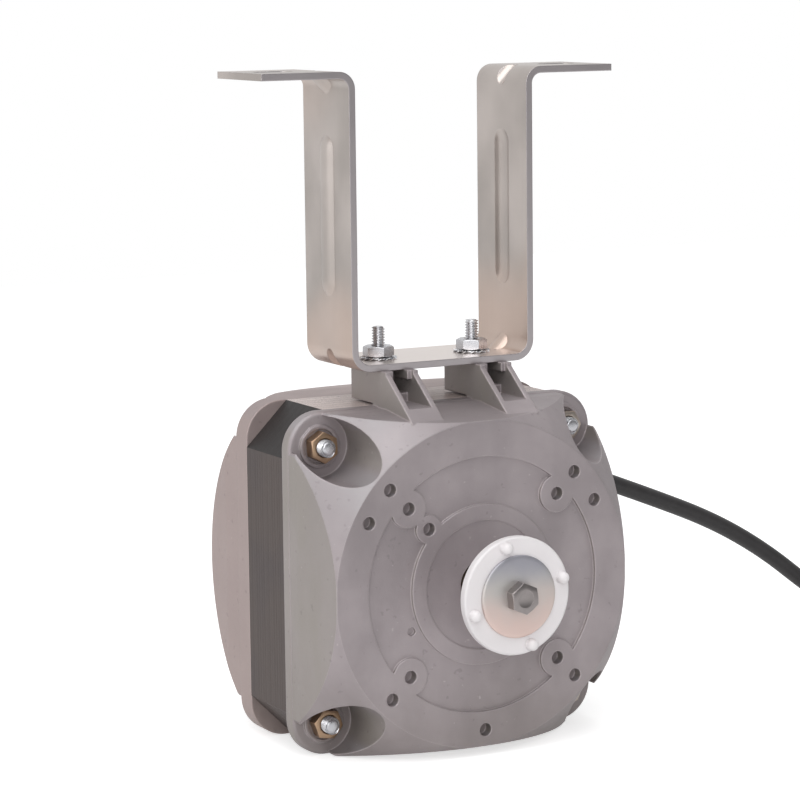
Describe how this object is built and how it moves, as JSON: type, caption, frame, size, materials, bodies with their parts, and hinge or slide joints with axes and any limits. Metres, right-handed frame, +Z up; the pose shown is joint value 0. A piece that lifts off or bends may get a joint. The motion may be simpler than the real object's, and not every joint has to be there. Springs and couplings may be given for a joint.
{
  "type": "fan motor",
  "caption": "Square shaded-pole fan motor with cast covers, a laminated stack, a white fan hub on its shaft, a U-shaped mounting bracket on top and a black supply lead.",
  "frame": {"origin": "centre of the front mounting face, on the shaft axis", "axes": "+Z up through the bracket, -Y out of the front face along the shaft, +X to the right seen from the front"},
  "size_m": [0.2522, 0.1115, 0.196],
  "materials": {
    "cast_front": "as cast, slightly rough",
    "cast_rear": "as cast, slightly rough",
    "stack_iron": "punched sheets, dark",
    "copper": "bare",
    "bronze": "sintered, oiled",
    "felt": "oiled felt",
    "spring_steel": "hardened",
    "bolt_steel": "bright zinc",
    "nut_yellow": "yellow passivated",
    "bracket_zinc": "galvanised",
    "shaft_steel": "ground",
    "dark_plastic": "matt",
    "cage_aluminium": "as cast",
    "hub_nylon": "natural white",
    "washer_zinc": "zinc plated",
    "bobbin_nylon": "natural",
    "enamelled_wire": "enamelled",
    "lead_rubber": "semi matt",
    "core_insulation": "smooth"
  },
  "bodies": {
    "housing": {"front_cover": "cast_front", "rear_cover": "cast_rear", "stator_yoke": "stack_iron", "pole_star": "stack_iron", "shading_rings": "copper", "front_bearing": "bronze", "rear_bearing": "bronze", "front_oil_felt": "felt", "rear_oil_felt": "felt", "front_bearing_clip": "spring_steel", "rear_bearing_clip": "spring_steel", "through_bolts": "bolt_steel", "bolt_nuts": "nut_yellow", "mounting_bracket": "bracket_zinc", "bracket_screws": "bolt_steel", "bracket_lock_washers": "bolt_steel", "bracket_nuts": "bolt_steel", "strain_relief": "lead_rubber", "cable_run": "lead_rubber", "cable_coil": "lead_rubber", "cable_cores": "core_insulation", "coil_bobbin_1": "bobbin_nylon", "winding_1": "enamelled_wire", "coil_bobbin_2": "bobbin_nylon", "winding_2": "enamelled_wire", "coil_bobbin_3": "bobbin_nylon", "winding_3": "enamelled_wire", "coil_bobbin_4": "bobbin_nylon", "winding_4": "enamelled_wire"},
    "rotor": {"shaft": "shaft_steel", "thrust_washers": "dark_plastic", "snap_rings": "spring_steel", "rotor_core": "stack_iron", "rotor_cage": "cage_aluminium", "fan_hub": "hub_nylon", "hub_washer": "washer_zinc", "hub_screw": "bolt_steel"}
  },
  "joints": [
    {"name": "shaft_spin", "type": "hinge", "parent": "housing", "child": "rotor", "pos_m": [0, 0.03975, 0], "axis": [0, -1, 0], "continuous": true}
  ]
}
